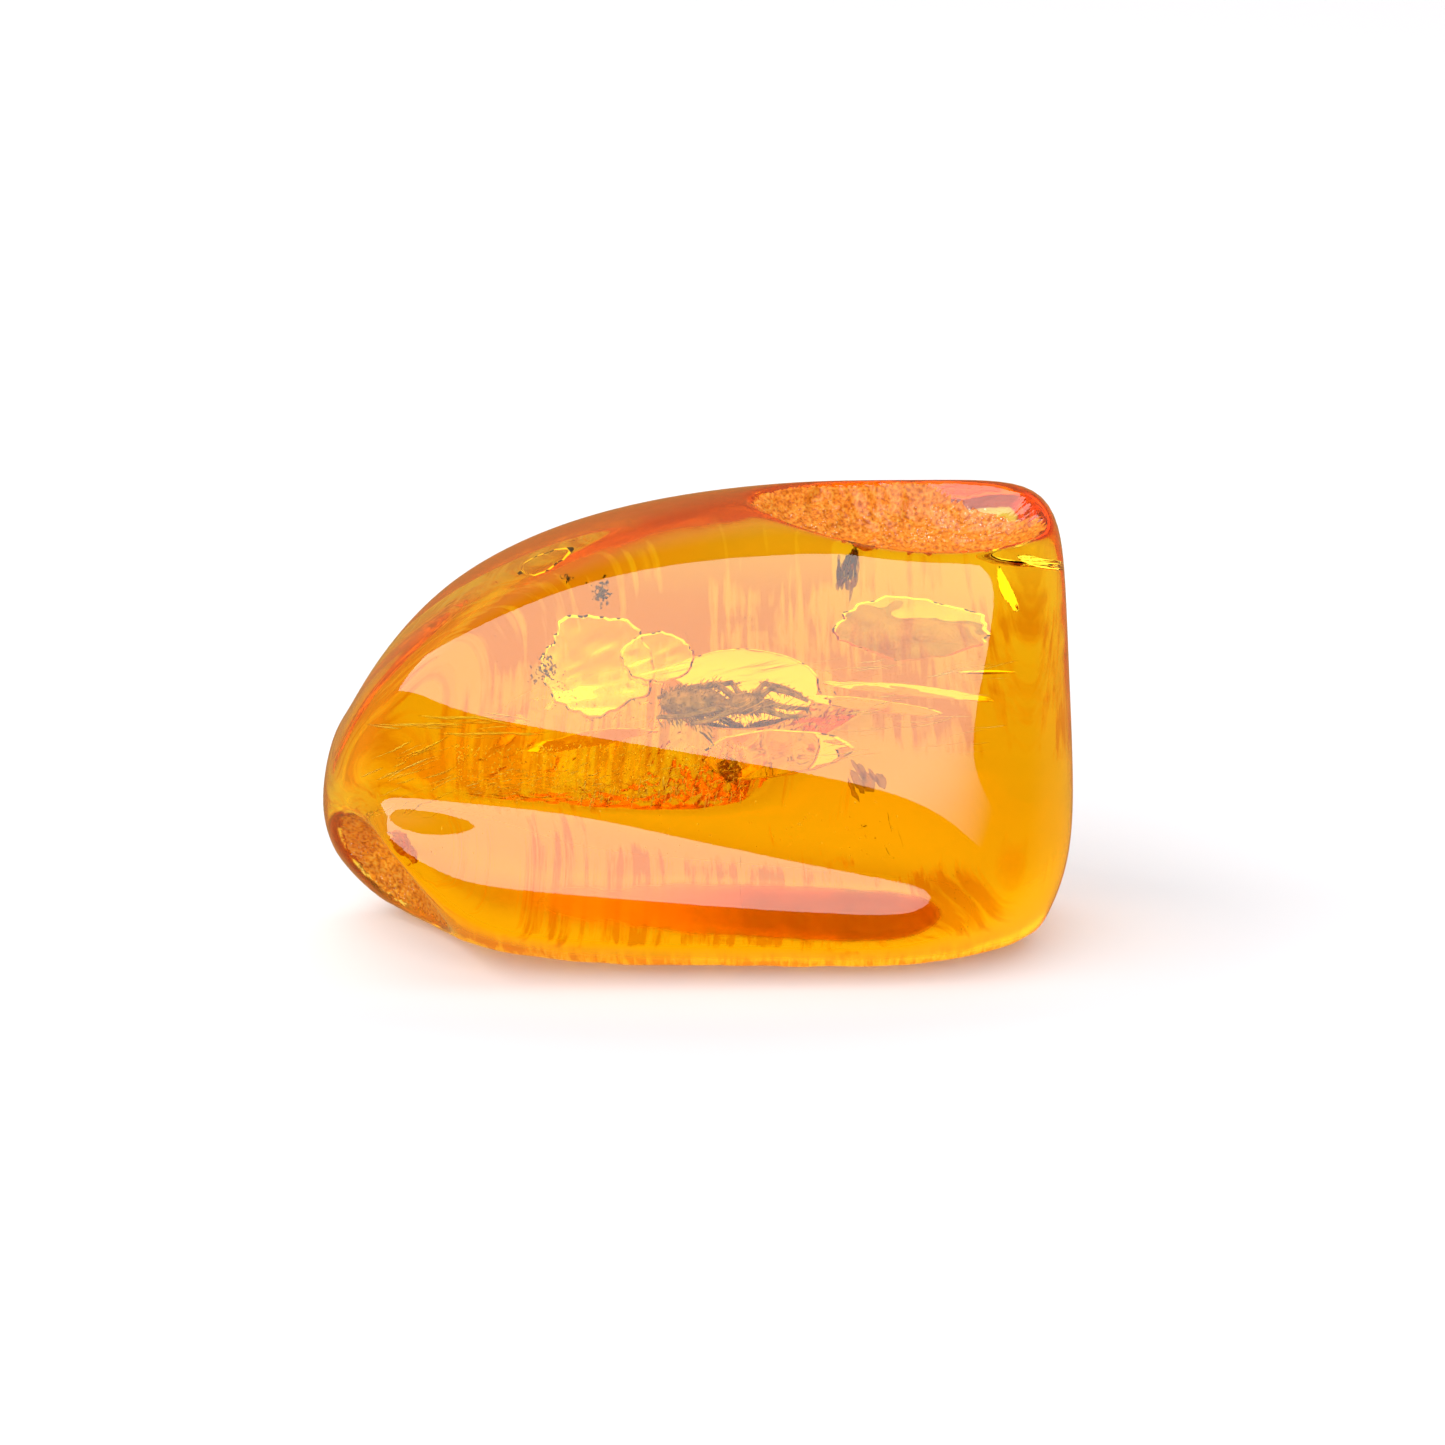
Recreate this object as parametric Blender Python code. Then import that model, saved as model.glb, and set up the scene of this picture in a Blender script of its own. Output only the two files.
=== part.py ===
"""Polished piece of amber with a spider sealed in it.

Lengths are in millimetres up to the last step, which makes them metres.
X runs along the longest side, -Y is the polished face that shows the spider, and Z is up.
The origin is below the middle of the piece, on the surface that it rests on.
"""

import bpy
import bmesh
import numpy as np
from mathutils import Euler, Matrix, Vector

MM = 0.001
GAP = 0.3  # left between two pieces that touch

# The outer form is found along lines that run out from this point, which sees all of it.
HEART = (3.3, 0.6, 6.5)
SPREAD = (13.5, 7.0, 9.0)  # evens out the triangles between the ends and the sides
FORM_DETAIL = 5
FURTHEST = 2.2  # in SPREADs from HEART

# Arched outline of the top and left, as seen from the front.
ARCH_X, ARCH_Z = 8.3, 4.6
ARCH_REACH, ARCH_RISE, ARCH_POWER = 23.4, 13.95, 2.12

# Polished flats of the main body: azimuth and tilt that each faces, and a point that it passes through.
MAIN_FLATS = (
    (0, 3, (15.25, 0.1, 9.0)),  # right side
    (0, -30, (14.9, 0.1, 2.3)),  # right side, towards the base
    (0, 47, (14.9, 0.1, 17.6)),  # right side, towards the top
    (-88, 26, (0.3, -5.9, 9.9)),  # front window, leaning back
    (-94.5, -14, (0.3, -6.65, 9.2)),  # front, under the window
    (-90, 62, (0.3, -1.3, 18.5)),  # front, towards the top
    (-66, 15, (11.5, -5.3, 9.0)),  # front right
    (-30, 5, (14.5, -3.5, 9.0)),  # front right, round the corner
    (-50, -40, (11.7, -5.1, 1.4)),  # front right, towards the base
    (90, 9, (0.3, 7.2, 9.0)),  # back
    (90, -22, (0.3, 7.0, 5.0)),  # back, towards the base
    (90, 52, (0.3, 5.7, 17.0)),  # back, towards the top
    (50, 0, (13.5, 6.1, 9.0)),  # back right
    (-125, 8, (-12.5, -4.9, 9.5)),  # front left
    (135, 5, (-12.7, 5.5, 9.0)),  # back left
    (180, -8, (-15.45, 0.1, 3.4)),  # left lobe
    (180, -72, (-12.6, 0.1, 1.55)),  # left lobe, towards the base
    (-135, -38, (-11.4, -1.2, 2.8)),  # left lobe, front
    (0, -90, (0.0, 0.0, -1.5)),  # underside, below the level that the base is cut at
)
# Flats of the swelling along the foot of the front face.
SWELL_FLATS = (
    (-90, -6, (0.3, -7.3, 2.4)),  # front
    (-86, 29, (0.3, -6.8, 4.15)),  # shoulder
    (-90, 80, (0.3, -3.9, 7.0)),  # top, inside the main body
    (-90, -48, (0.3, -6.3, 0.6)),  # towards the base
    (90, 0, (0.3, 4.1, 3.0)),  # back, inside the main body
    (-150, -38, (-11.7, -4.9, 3.6)),  # left end
    (-120, -62, (-9.3, -4.9, 0.9)),  # left end, towards the base
    (-160, 22, (-12.9, -4.9, 6.0)),  # left end, towards the top
    (-52, 0, (10.9, -6.1, 2.6)),  # right end
    (-50, -40, (11.3, -5.1, 1.4)),  # right end, towards the base
    (0, 4, (13.7, 0.1, 2.3)),  # right end, inside the main body
    (0, -90, (0.0, 0.0, -1.5)),  # underside
)
MAIN_ROUNDING, SWELL_ROUNDING, VALLEY_ROUNDING = 0.62, 0.45, 0.5

# Hollows where the rough crust was left: centre, radii, turn about X, Y and Z.
HOLLOWS = {
    "hollow_in_top": ((8.1, -0.2, 19.4), (6.9, 3.2, 3.6), (14, 6, -4)),
    "hollow_low_on_left": ((-14.9, -4.9, 1.0), (5.0, 6.0, 5.2), (0, 10, -8)),
    "hollow_in_back": ((-1.7, 9.9, 6.4), (11.0, 4.4, 2.6), (0, -6, 0)),
}

# The spider lies along X, head to the right, on the surface where the clear body is parted.
SPIDER_AT = (1.0, -0.2, 9.4)
SPIDER_TILT = 18  # about X: its near side is the lower one
ABDOMEN_AT, ABDOMEN = (-1.1, 0.0, 0.05), (1.35, 0.62, 0.52)
WAIST_AT, WAIST = (0.2, 0.0, 0.0), (0.32, 0.2, 0.18)
HEAD_AT, HEAD = (1.0, 0.0, 0.0), (0.78, 0.5, 0.38)
JAW_AT, JAW = (1.78, 0.15, -0.06), (0.26, 0.14, 0.13)
LEG_HIP, LEG_TIP = 0.15, 0.07  # radii
# Each pair of legs: hip, knee, ankle and tip, for the left leg.
LEGS = (
    ((1.35, 0.3, -0.04), (1.95, 0.52, 0.34), (2.75, 0.48, 0.12), (3.45, 0.24, -0.08)),
    ((1.15, 0.36, -0.04), (1.7, 0.86, 0.32), (2.5, 0.92, 0.06), (3.2, 0.68, -0.12)),
    ((0.85, 0.38, -0.04), (0.4, 0.92, 0.32), (-0.4, 1.1, 0.05), (-1.2, 1.02, -0.14)),
    ((0.6, 0.34, -0.04), (-0.2, 0.82, 0.36), (-1.4, 0.88, 0.1), (-2.55, 0.6, -0.14)),
)

AMBER = (0.93, 0.46, 0.045, 1.0)
AMBER_IOR = 1.54
CHITIN = (0.11, 0.07, 0.045, 1.0)


def clear_scene():
    for thing in list(bpy.data.objects):
        bpy.data.objects.remove(thing, do_unlink=True)


def new_collection(name, parent):
    collection = bpy.data.collections.new(name)
    parent.children.link(collection)
    return collection


def smooth_max(values, rounding):
    """The largest of the values, with the corners between them rounded."""
    values = np.stack(values)
    top = values.max(axis=0)
    return top + rounding * np.log(np.exp((values - top) / rounding).sum(axis=0))


def flat(points, azimuth, tilt, through):
    """Height above a flat that faces this way."""
    a, t = np.radians(azimuth), np.radians(tilt)
    facing = np.array([np.cos(a) * np.cos(t), np.sin(a) * np.cos(t), np.sin(t)])
    return (points - np.array(through)) @ facing


def arch(points):
    """Height outside the arch: an ellipse with squared shoulders, carried through from front to back."""
    along = np.maximum(0.0, ARCH_X - points[:, 0]) / ARCH_REACH
    up = np.maximum(0.0, points[:, 2] - ARCH_Z) / ARCH_RISE
    return ((along**ARCH_POWER + up**ARCH_POWER + 1e-9) ** (1 / ARCH_POWER) - 1) * ARCH_RISE


def outside_form(points):
    """Below 0 inside the piece and above 0 outside it."""
    main = smooth_max([arch(points)] + [flat(points, *one) for one in MAIN_FLATS], MAIN_ROUNDING)
    swell = smooth_max([arch(points)] + [flat(points, *one) for one in SWELL_FLATS], SWELL_ROUNDING)
    return -smooth_max([-main, -swell], VALLEY_ROUNDING)


def form_points(directions):
    """The point of the form along each direction from HEART: a walk to the first step outside, then halvings."""
    heart = np.array(HEART)
    lines = directions * np.array(SPREAD)
    inner = np.zeros(len(lines))
    outer = np.full(len(lines), FURTHEST)
    walking = np.ones(len(lines), bool)
    for distance in np.linspace(0.02, FURTHEST, 110):
        is_in = outside_form(heart + lines * distance) < 0
        outer[walking & ~is_in] = distance
        walking &= is_in
        inner[walking] = distance
    for _ in range(26):
        middle = (inner + outer) / 2
        is_in = outside_form(heart + lines * middle[:, None]) < 0
        inner = np.where(is_in, middle, inner)
        outer = np.where(is_in, outer, middle)
    return heart + lines * inner[:, None]


def add_object(name, bm, collection, material=None):
    """Makes an object of the bmesh, whose lengths are in millimetres."""
    bmesh.ops.scale(bm, vec=(MM, MM, MM), verts=bm.verts)
    mesh = bpy.data.meshes.new(name)
    bm.to_mesh(mesh)
    bm.free()
    obj = bpy.data.objects.new(name, mesh)
    collection.objects.link(obj)
    if material:
        mesh.materials.append(material)
    return obj


def as_cutter(obj):
    obj.hide_render = True
    obj.display_type = "WIRE"
    return obj


def boolean(obj, operation, cutter):
    """Cuts with, or joins to, an object or all the objects of a collection."""
    modifier = obj.modifiers.new(cutter.name, "BOOLEAN")
    modifier.operation = operation
    modifier.solver = "EXACT"
    if isinstance(cutter, bpy.types.Collection):
        modifier.operand_type = "COLLECTION"
        modifier.collection = cutter
    else:
        modifier.object = cutter


def make_material(name, colour, roughness, transmission=0.0, ior=1.5):
    material = bpy.data.materials.new(name)
    material.use_nodes = True
    shader = material.node_tree.nodes["Principled BSDF"]
    shader.inputs["Base Color"].default_value = colour
    shader.inputs["Roughness"].default_value = roughness
    shader.inputs["Metallic"].default_value = 0.0
    shader.inputs["IOR"].default_value = ior
    shader.inputs["Transmission Weight"].default_value = transmission
    material.diffuse_color = colour
    return material


def parting():
    """Where the clear body is parted: the surface that the spider lies on."""
    return Matrix.Translation(Vector(SPIDER_AT)) @ Matrix.Rotation(np.radians(SPIDER_TILT), 4, "X")


def make_stone(name, collection, material):
    """The outer form: a sphere's points moved out or in to it."""
    bm = bmesh.new()
    bmesh.ops.create_icosphere(bm, subdivisions=FORM_DETAIL, radius=1.0)
    points = form_points(np.array([vert.co for vert in bm.verts]))
    for vert, point in zip(bm.verts, points):
        vert.co = point
    stone = add_object(name, bm, collection, material)
    stone.data.shade_smooth()
    return stone


def make_base_cutter(collection):
    """A block up to the level that the piece rests on, which leaves it a flat base."""
    bm = bmesh.new()
    bmesh.ops.create_cube(bm, size=60.0)
    bmesh.ops.translate(bm, vec=(0, 0, -30.0), verts=bm.verts)
    return as_cutter(add_object("below_base", bm, collection))


def make_hollow_cutter(name, centre, radii, turn, collection):
    bm = bmesh.new()
    bmesh.ops.create_uvsphere(bm, u_segments=36, v_segments=18, radius=1.0)
    turned = Euler([float(np.radians(angle)) for angle in turn]).to_matrix().to_4x4()
    placed = Matrix.Translation(centre) @ turned @ Matrix.Diagonal((*radii, 1.0))
    bmesh.ops.transform(bm, matrix=placed, verts=bm.verts)
    return as_cutter(add_object(name, bm, collection))


def make_side_cutter(name, side, collection):
    """A block that takes away all of one side of the parting, and half the gap."""
    size = 60.0
    bm = bmesh.new()
    bmesh.ops.create_cube(bm, size=size)
    lift = side * (size / 2 - GAP / 2)
    bmesh.ops.transform(bm, matrix=parting() @ Matrix.Translation((0, 0, lift)), verts=bm.verts)
    return as_cutter(add_object(name, bm, collection))


def add_ball(name, at, radii, clearance, segments, collection, material=None):
    """An ellipsoid of the spider's body."""
    grown = [radius + clearance for radius in radii]
    bm = bmesh.new()
    bmesh.ops.create_uvsphere(bm, u_segments=segments, v_segments=segments // 2 + 1, radius=1.0)
    lie_along_x = Matrix.Rotation(np.radians(90), 4, "Y")
    placed = parting() @ Matrix.Translation(at) @ Matrix.Diagonal((*grown, 1.0)) @ lie_along_x
    bmesh.ops.transform(bm, matrix=placed, verts=bm.verts)
    return add_object(name, bm, collection, material)


def add_leg(name, joints, clearance, collection):
    """A tapered tube through the leg's joints, made a closed mesh."""
    curve = bpy.data.curves.new(name, "CURVE")
    curve.dimensions = "3D"
    curve.bevel_depth = 1.0
    curve.bevel_resolution = 1
    curve.use_fill_caps = True
    spline = curve.splines.new("POLY")
    spline.points.add(len(joints) - 1)
    radii = np.linspace(LEG_HIP, LEG_TIP, len(joints)) + clearance
    for point, joint, radius in zip(spline.points, joints, radii):
        point.co = (*joint, 1.0)
        point.radius = radius
    tube = bpy.data.objects.new(name, curve)
    bpy.context.scene.collection.objects.link(tube)
    graph = bpy.context.evaluated_depsgraph_get()
    mesh = bpy.data.meshes.new_from_object(tube.evaluated_get(graph))
    bpy.data.objects.remove(tube, do_unlink=True)
    bm = bmesh.new()
    bm.from_mesh(mesh)
    bmesh.ops.remove_doubles(bm, verts=bm.verts, dist=0.0001)
    bmesh.ops.recalc_face_normals(bm, faces=bm.faces)
    bmesh.ops.transform(bm, matrix=parting(), verts=bm.verts)
    return add_object(name, bm, collection)


def make_spider(name, clearance, collection, cutters, material=None):
    """The spider as one solid, or with a clearance the pocket that it lies in."""
    limbs = new_collection(name + "_limbs", cutters)
    spider = add_ball(name, ABDOMEN_AT, ABDOMEN, clearance, 16, collection, material)
    add_ball(name + "_waist", WAIST_AT, WAIST, clearance, 10, limbs)
    add_ball(name + "_head", HEAD_AT, HEAD, clearance, 14, limbs)
    for side in (1, -1):
        x, y, z = JAW_AT
        add_ball(f"{name}_jaw_{side}", (x, side * y, z), JAW, clearance, 8, limbs)
        for number, joints in enumerate(LEGS):
            mirrored = [(x, side * y, z) for x, y, z in joints]
            add_leg(f"{name}_leg_{number}_{side}", mirrored, clearance, limbs)
    for limb in limbs.objects:
        as_cutter(limb)
    boolean(spider, "UNION", limbs)
    return spider


def main():
    clear_scene()
    amber = new_collection("Amber_with_spider", bpy.context.scene.collection)
    cutters = new_collection("Cutters", bpy.context.scene.collection)
    clear = make_material("Clear_amber", AMBER, 0.04, transmission=1.0, ior=AMBER_IOR)
    chitin = make_material("Dried_chitin", CHITIN, 0.6)

    base = make_base_cutter(cutters)
    hollows = [make_hollow_cutter(name, *shape, cutters) for name, shape in HOLLOWS.items()]
    pocket = as_cutter(make_spider("pocket", GAP, cutters, cutters))
    for name, side in (("amber_top", -1), ("amber_bottom", 1)):
        half = make_stone(name, amber, clear)
        for cutter in [base, *hollows]:
            boolean(half, "DIFFERENCE", cutter)
        boolean(half, "DIFFERENCE", make_side_cutter(name + "_cutter", side, cutters))
        boolean(half, "DIFFERENCE", pocket)
    make_spider("spider", 0.0, amber, cutters, chitin)


main()
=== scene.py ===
"""Polished piece of amber with a spider sealed in it, on a white surface in soft studio light."""

import math
import random

import bmesh
import bpy
import numpy as np
from mathutils import Euler, Matrix, Vector, noise
from mathutils.bvhtree import BVHTree


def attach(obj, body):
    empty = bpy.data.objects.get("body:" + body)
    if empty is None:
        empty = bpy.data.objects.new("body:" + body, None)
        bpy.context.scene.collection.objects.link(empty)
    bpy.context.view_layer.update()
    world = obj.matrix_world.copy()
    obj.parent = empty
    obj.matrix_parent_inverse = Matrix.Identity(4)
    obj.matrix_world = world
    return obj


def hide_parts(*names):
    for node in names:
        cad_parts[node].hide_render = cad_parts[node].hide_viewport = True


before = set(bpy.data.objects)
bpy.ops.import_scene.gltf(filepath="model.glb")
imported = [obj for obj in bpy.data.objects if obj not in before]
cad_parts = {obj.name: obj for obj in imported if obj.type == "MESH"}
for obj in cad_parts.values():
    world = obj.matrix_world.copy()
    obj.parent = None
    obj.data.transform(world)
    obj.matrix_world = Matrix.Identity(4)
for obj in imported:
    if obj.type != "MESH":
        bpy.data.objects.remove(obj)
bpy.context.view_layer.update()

MM = 0.001

# The outer form, from the same named values as the solids

HEART = (3.3, 0.6, 6.5)
SPREAD = (13.5, 7.0, 9.0)
FORM_CELLS = 66  # along each side of the cube that the form's points start from
FURTHEST = 2.2
ARCH_X, ARCH_Z = 8.3, 4.6
ARCH_REACH, ARCH_RISE, ARCH_POWER = 23.4, 13.95, 2.12
MAIN_FLATS = (
    (0, 3, (15.25, 0.1, 9.0)),  # right side
    (0, -30, (14.9, 0.1, 2.3)),  # right side, towards the base
    (0, 47, (14.9, 0.1, 17.6)),  # right side, towards the top
    (-88, 26, (0.3, -5.9, 9.9)),  # front window, leaning back
    (-94.5, -14, (0.3, -6.65, 9.2)),  # front, under the window
    (-90, 62, (0.3, -1.3, 18.5)),  # front, towards the top
    (-66, 15, (11.5, -5.3, 9.0)),  # front right
    (-30, 5, (14.5, -3.5, 9.0)),  # front right, round the corner
    (-50, -40, (11.7, -5.1, 1.4)),  # front right, towards the base
    (90, 9, (0.3, 7.2, 9.0)),  # back
    (90, -22, (0.3, 7.0, 5.0)),  # back, towards the base
    (90, 52, (0.3, 5.7, 17.0)),  # back, towards the top
    (50, 0, (13.5, 6.1, 9.0)),  # back right
    (-125, 8, (-12.5, -4.9, 9.5)),  # front left
    (135, 5, (-12.7, 5.5, 9.0)),  # back left
    (180, -8, (-15.45, 0.1, 3.4)),  # left lobe
    (180, -72, (-12.6, 0.1, 1.55)),  # left lobe, towards the base
    (-135, -38, (-11.4, -1.2, 2.8)),  # left lobe, front
)
SWELL_FLATS = (
    (-90, -6, (0.3, -7.3, 2.4)),  # front
    (-86, 29, (0.3, -6.8, 4.15)),  # shoulder
    (-90, 80, (0.3, -3.9, 7.0)),  # top, inside the main body
    (-90, -48, (0.3, -6.3, 0.6)),  # towards the base
    (90, 0, (0.3, 4.1, 3.0)),  # back, inside the main body
    (-150, -38, (-11.7, -4.9, 3.6)),  # left end
    (-120, -62, (-9.3, -4.9, 0.9)),  # left end, towards the base
    (-160, 22, (-12.9, -4.9, 6.0)),  # left end, towards the top
    (-52, 0, (10.9, -6.1, 2.6)),  # right end
    (-50, -40, (11.3, -5.1, 1.4)),  # right end, towards the base
    (0, 4, (13.7, 0.1, 2.3)),  # right end, inside the main body
)
MAIN_ROUNDING, SWELL_ROUNDING, VALLEY_ROUNDING = 0.62, 0.45, 0.5
BASE_ROUNDING = 0.5
# Hollows: centre, radii, turn, rounding of the rim.
HOLLOWS = (
    ((8.1, -0.2, 19.4), (6.9, 3.2, 3.6), (14, 6, -4), 0.16),  # in the top
    ((-14.9, -4.9, 1.0), (5.0, 6.0, 5.2), (0, 10, -8), 0.2),  # low on the left
    ((-1.7, 9.9, 6.4), (11.0, 4.4, 2.6), (0, -6, 0), 0.25),  # in the back
)

# Darker (above 0) and lighter places in the skin: centre, radii, how much.
STAINS = (
    ((11.0, 5.0, 0.6), (2.3, 3.0, 2.2), 0.16),
    ((8.3, 6.0, 3.2), (2.3, 2.5, 1.8), -0.16),
    ((6.0, 6.0, 2.6), (0.9, 3.0, 2.6), 0.14),
    ((-11.5, 4.0, 6.2), (3.0, 4.0, 1.6), 0.14),
    ((-9.5, 5.0, 8.0), (4.5, 4.0, 0.9), -0.14),
    ((-1.0, 6.0, 0.8), (7.0, 3.0, 0.9), 0.1),
    ((3.0, 7.0, 13.5), (4.0, 4.0, 2.0), 0.08),
    ((9.0, 7.0, 11.5), (3.0, 4.0, 2.5), -0.1),
    ((0.0, 6.0, 1.0), (18.0, 6.0, 5.0), -0.1),
    ((0.0, 7.0, 9.5), (18.0, 4.0, 4.0), 0.05),
    ((4.0, 6.5, 4.0), (8.0, 3.0, 3.0), -0.1),
)
CRUST_RIM = 0.15  # how far the crust reaches past a hollow's edge
CRUST_CUTS = 3  # cuts in each edge near a hollow, for the grain
CRUST_REACH = 0.7  # how far from a hollow the edges are cut
CRUST_SINK = 0.08  # the grain lies this deep on average
# In plan: where the top hollow's crust ends, the way it ends, and over what width.
RIDGE_AT, RIDGE_FACING = (9.7, 3.0), (0.481, 0.877)
RIDGE_FADE = 0.5
SKIN_TOP, SKIN_FADE = 15.5, 4.0  # height at which the polish takes over from the skin
AMBER_IOR = 1.54

# The camera, in mm: a place in the picture is given in the photograph's pixels

PHOTO_SIZE = 1445
PHOTO_CENTRE = PHOTO_SIZE / 2
CAMERA_TARGET = (1.1, 0.1, 8.85)
CAMERA_TILT = 15.0
CAMERA_LENS, CAMERA_SENSOR = 100.0, 36.0
MM_PER_PIXEL = 30.0 / 744.0
CAMERA_DISTANCE = PHOTO_SIZE * MM_PER_PIXEL * CAMERA_LENS / CAMERA_SENSOR

# Cracks in the amber: place in the picture, depth, width and length, and what differs from a plain one.
CRACKS = (
    (740, 688, 1.8, (6.4, 4.3),  # behind the spider
     dict(lean=-28, gap=0.02, ridges=30, ridge=0.004, ragged=0.04, seed=2, fine=3)),
    (775, 752, 1.0, (6.0, 1.9), dict(lean=-27, gap=0.016, seed=5, fine=1.3)),
    (908, 628, 2.0, (5.8, 2.9), dict(lean=-35, gap=0.01, ragged=0.2, seed=9, fine=2)),
    (657, 658, 1.8, (3.0, 2.4),
     dict(lean=-34, gap=0.01, bend=0.04, ridges=10, ridge=0.012, ragged=0.2, seed=11, fine=1.3)),
    (595, 665, 1.5, (4.6, 4.4),
     dict(lean=-34, roll=6, gap=0.01, bend=0.04, ridges=14, ridge=0.014, ragged=0.25, seed=13, fine=2)),
    (985, 672, 0.0, (2.0, 0.25), dict(lean=-25, roll=-4, gap=0.02, seed=15)),
    (1007, 590, 2.0, (0.5, 2.4),
     dict(lean=-30, roll=16, turn=24, gap=0.016, ragged=0.4, ridges=20, ridge=0.03, seed=17, fine=1.3)),
    (1052, 566, 1.0, (1.6, 0.5),
     dict(lean=-30, roll=10, gap=0.016, bend=0.3, ragged=0.3, ridges=20, ridge=0.02, seed=19, fine=1.3)),
    (1000, 562, 1.0, (3.0, 0.3), dict(lean=-30, roll=6, gap=0.016, bend=0.2, ragged=0.3, seed=20, fine=1.3)),
    (870, 705, 1.0, (5.4, 0.7), dict(lean=-27, roll=6, gap=0.016, seed=33, fine=1.3)),
    (905, 690, 2.0, (6.4, 0.6), dict(lean=-27, roll=4, gap=0.016, seed=35, fine=1.3)),
    (590, 738, 0.5, (5.0, 0.6), dict(lean=-28, roll=-2, gap=0.016, ragged=0.2, seed=45, fine=1.3)),
)
# Tones of what lies in the amber, in the order of inner_materials. The pale one is partly painted light:
# pale flakes and threads stand in for glints.
PALE_GLINT, GOLDEN, BROWN, DARK = range(4)
MARGIN = 0.3  # nothing inside comes nearer to the surface
FLAKE_THICKNESS = 0.016
HAIR_COUNT, HAIR_WIDTH, ABDOMEN_END = 900, 0.035, 1.0
# Many small flakes, most of them pale ones that are painted glints: box in the picture, depth and its
# spread, how many, longest, seed.
GLITTER = (
    (455, 745, 745, 803, -2.5, 1.0, 2200, 0.2, 1),
    (430, 800, 900, 860, -4.0, 0.6, 260, 0.16, 2),
)
# Streaks: box in the picture, depth and its spread, how many, length, widest, slant, tone, seed.
STREAKS = (
    (838, 556, 856, 580, 0.5, 0.3, 30, 1.0, 0.16, 84, DARK, 21),
    (836, 552, 858, 588, 0.5, 0.3, 30, 1.1, 0.2, 84, BROWN, 24),
    (700, 718, 716, 742, -0.9, 0.1, 2, 1.1, 0.09, -48, DARK, 27),
    (852, 766, 882, 790, -1.0, 0.4, 7, 1.0, 0.5, -60, BROWN, 33),
    (714, 758, 738, 782, -1.0, 0.4, 8, 1.0, 0.45, -46, BROWN, 34),
    (360, 716, 520, 736, -3.2, 0.5, 26, 3.4, 0.1, -3, GOLDEN, 37),
    (345, 745, 450, 812, -3.4, 0.6, 44, 2.2, 0.08, 24, GOLDEN, 38),
    (820, 660, 990, 760, -3.0, 1.0, 40, 2.4, 0.06, 8, GOLDEN, 39),
    # The pale strands in these two rows are painted glints.
    (575, 780, 742, 804, -3.8, 0.3, 80, 0.6, 0.06, 80, PALE_GLINT, 40),
    (470, 764, 745, 800, -3.6, 0.5, 110, 0.5, 0.05, 15, PALE_GLINT, 41),
    (680, 662, 790, 684, 0.6, 0.3, 30, 1.8, 0.04, 14, BROWN, 31),
    (740, 700, 800, 716, -1.0, 0.2, 18, 1.2, 0.04, 28, PALE_GLINT, 32),
    (886, 812, 906, 852, -2.0, 0.4, 4, 1.0, 0.03, -70, DARK, 28),
    (738, 850, 744, 892, -3.6, 0.1, 2, 1.6, 0.03, 88, DARK, 30),
)
# Dark specks: place in the picture, depth, radius of the group, how many grains, largest grain, seed.
SPECKS = (
    (601, 593, -1.0, 0.38, 80, 0.3, 1),
    (568, 577, -1.0, 0.14, 14, 0.2, 2),
    (545, 668, -1.2, 0.55, 60, 0.3, 3),
    (562, 690, -1.2, 0.6, 30, 0.14, 4),
    (863, 826, -2.2, 0.1, 8, 0.1, 5),
    (748, 620, -0.5, 0.3, 14, 0.08, 6),
    (690, 640, -0.5, 0.7, 12, 0.06, 7),
    (480, 660, -1.5, 1.2, 16, 0.06, 8),
    (960, 890, -3.0, 1.0, 24, 0.06, 9),
)
# Grains that lie on the crust, the pale ones painted glints: box in the picture, how many, largest, tone,
# seed.
CRUST_GRAINS_AND_GLINTS = (
    (912, 505, 1010, 542, 420, 0.09, PALE_GLINT, 1),
    (745, 505, 915, 550, 260, 0.08, PALE_GLINT, 2),
    (745, 500, 1040, 552, 300, 0.08, DARK, 3),
    (350, 842, 415, 905, 160, 0.07, PALE_GLINT, 4),
    (350, 842, 415, 905, 90, 0.07, DARK, 5),
)


def smooth_max(values, rounding):
    values = np.stack(values)
    top = values.max(axis=0)
    return top + rounding * np.log(np.exp((values - top) / rounding).sum(axis=0))


def flat(points, azimuth, tilt, through):
    a, t = np.radians(azimuth), np.radians(tilt)
    facing = np.array([np.cos(a) * np.cos(t), np.sin(a) * np.cos(t), np.sin(t)])
    return (points - np.array(through)) @ facing


def arch(points):
    along = np.maximum(0.0, ARCH_X - points[:, 0]) / ARCH_REACH
    up = np.maximum(0.0, points[:, 2] - ARCH_Z) / ARCH_RISE
    return ((along**ARCH_POWER + up**ARCH_POWER + 1e-9) ** (1 / ARCH_POWER) - 1) * ARCH_RISE


def inside_hollow(points, centre, radii, turn):
    turned = Euler([math.radians(angle) for angle in turn]).to_matrix()
    local = (points - np.array(centre)) @ np.array(turned)
    radii = np.array(radii)
    size = np.linalg.norm(local / radii, axis=1)
    slope = np.linalg.norm(local / radii**2, axis=1) + 1e-9
    return size * (1 - size) / slope


def outside_form(points):
    """Below 0 inside the stone, above 0 outside: about the distance in mm."""
    main = smooth_max([arch(points)] + [flat(points, *one) for one in MAIN_FLATS], MAIN_ROUNDING)
    swell = smooth_max([arch(points)] + [flat(points, *one) for one in SWELL_FLATS], SWELL_ROUNDING)
    form = -smooth_max([-main, -swell], VALLEY_ROUNDING)
    for centre, radii, turn, rounding in HOLLOWS:
        form = smooth_max([form, inside_hollow(points, centre, radii, turn)], rounding)
    return smooth_max([form, -points[:, 2]], BASE_ROUNDING)


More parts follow.
